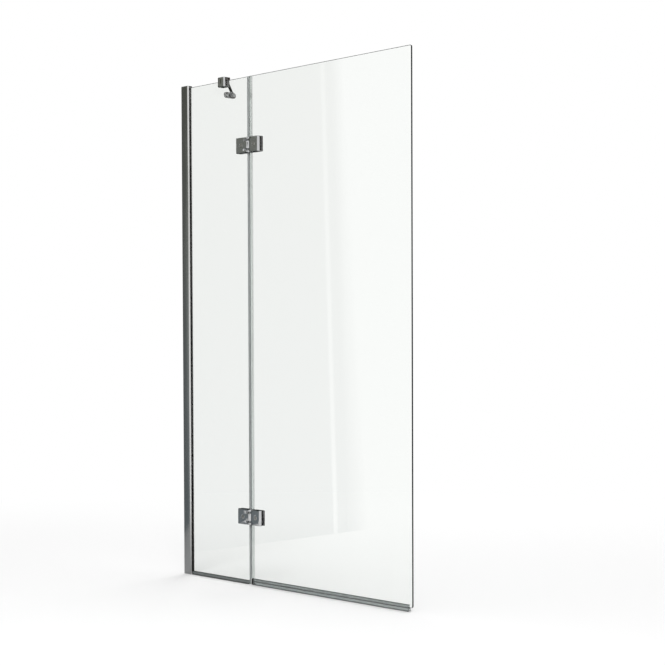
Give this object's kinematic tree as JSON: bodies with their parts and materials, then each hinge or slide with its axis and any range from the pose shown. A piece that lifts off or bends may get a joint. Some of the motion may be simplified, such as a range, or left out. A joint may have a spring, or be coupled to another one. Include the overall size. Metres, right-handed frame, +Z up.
{
  "type": "bath screen",
  "caption": "Frameless bath screen: fixed glass pane in a wall channel, swinging glass pane on pivot hinges, and a stay from the fixed pane to the wall.",
  "frame": {"origin": "foot of the wall channel's back face, in the middle plane of the glass, level with the bath's rim", "axes": "+X from the wall along the screen to its free edge, +Y to the bath side, +Z up"},
  "size_m": [0.88, 0.2105, 1.4065],
  "materials": {
    "polished_aluminium": "extruded, polished to a mirror and anodised",
    "chrome": "chrome plate on cast and machined brass, mirror bright",
    "clear_glass": "toughened float glass, clear, polished edges",
    "clear_pvc": "extruded PVC, cloudy clear",
    "black_rubber": "moulded and extruded rubber, matte",
    "nylon": "moulded nylon, natural white, matte",
    "stainless_steel": "turned stainless steel, satin"
  },
  "bodies": {
    "channel": {"wall_channel": "polished_aluminium", "channel_top_cap": "chrome", "glass_setting_block": "nylon", "outer_glazing_gasket": "black_rubber", "inner_glazing_gasket": "black_rubber", "glass_packing_strip": "nylon", "glass_pressure_strip": "nylon", "channel_clamp_screws": "stainless_steel", "clamp_screw_caps": "chrome"},
    "fixed_panel": {"fixed_glass": "clear_glass", "fixed_bottom_seal": "clear_pvc", "lower_hinge_fixed_body": "chrome", "lower_hinge_fixed_clamp_plate": "chrome", "lower_hinge_fixed_gaskets": "black_rubber", "lower_hinge_pin": "stainless_steel", "lower_hinge_thrust_washers": "nylon", "upper_hinge_fixed_body": "chrome", "upper_hinge_fixed_clamp_plate": "chrome", "upper_hinge_fixed_gaskets": "black_rubber", "upper_hinge_pin": "stainless_steel", "upper_hinge_thrust_washers": "nylon", "fixed_clamp_screws": "stainless_steel", "fixed_screw_sleeves": "nylon", "stay_clamp_block": "chrome", "stay_clamp_pads": "black_rubber", "stay_clamp_grub_screw": "stainless_steel", "stay_clamp_pin": "stainless_steel"},
    "door": {"door_glass": "clear_glass", "seam_seal_lower": "clear_pvc", "seam_seal_middle": "clear_pvc", "seam_seal_upper": "clear_pvc", "door_bottom_seal": "clear_pvc", "door_seal_end_block": "black_rubber", "lower_hinge_door_body": "chrome", "lower_hinge_door_clamp_plate": "chrome", "lower_hinge_door_gaskets": "black_rubber", "lower_hinge_lug_bushes": "nylon", "upper_hinge_door_body": "chrome", "upper_hinge_door_clamp_plate": "chrome", "upper_hinge_door_gaskets": "black_rubber", "upper_hinge_lug_bushes": "nylon", "door_clamp_screws": "stainless_steel", "door_screw_sleeves": "nylon"},
    "stay": {"stay_rod": "chrome"},
    "stay_foot": {"stay_wall_plate": "chrome", "stay_wall_pin": "stainless_steel"}
  },
  "joints": [
    {"name": "width_adjust", "type": "slide", "parent": "channel", "child": "fixed_panel", "axis": [1, 0, 0], "range_m": [0, 0.015]},
    {"name": "door_swing", "type": "hinge", "parent": "fixed_panel", "child": "door", "pos_m": [0.281, 0, 0], "axis": [0, 0, 1], "range_deg": [-90, 90]},
    {"name": "stay_swivel", "type": "hinge", "parent": "fixed_panel", "child": "stay", "pos_m": [0.17098, 0.019, 1.398], "axis": [0, 0, 1], "range_deg": [-60, 30]},
    {"name": "stay_foot_swivel", "type": "hinge", "parent": "stay", "child": "stay_foot", "pos_m": [0.014, 0.17598, 1.398], "axis": [0, 0, 1], "range_deg": [-60, 40]}
  ]
}
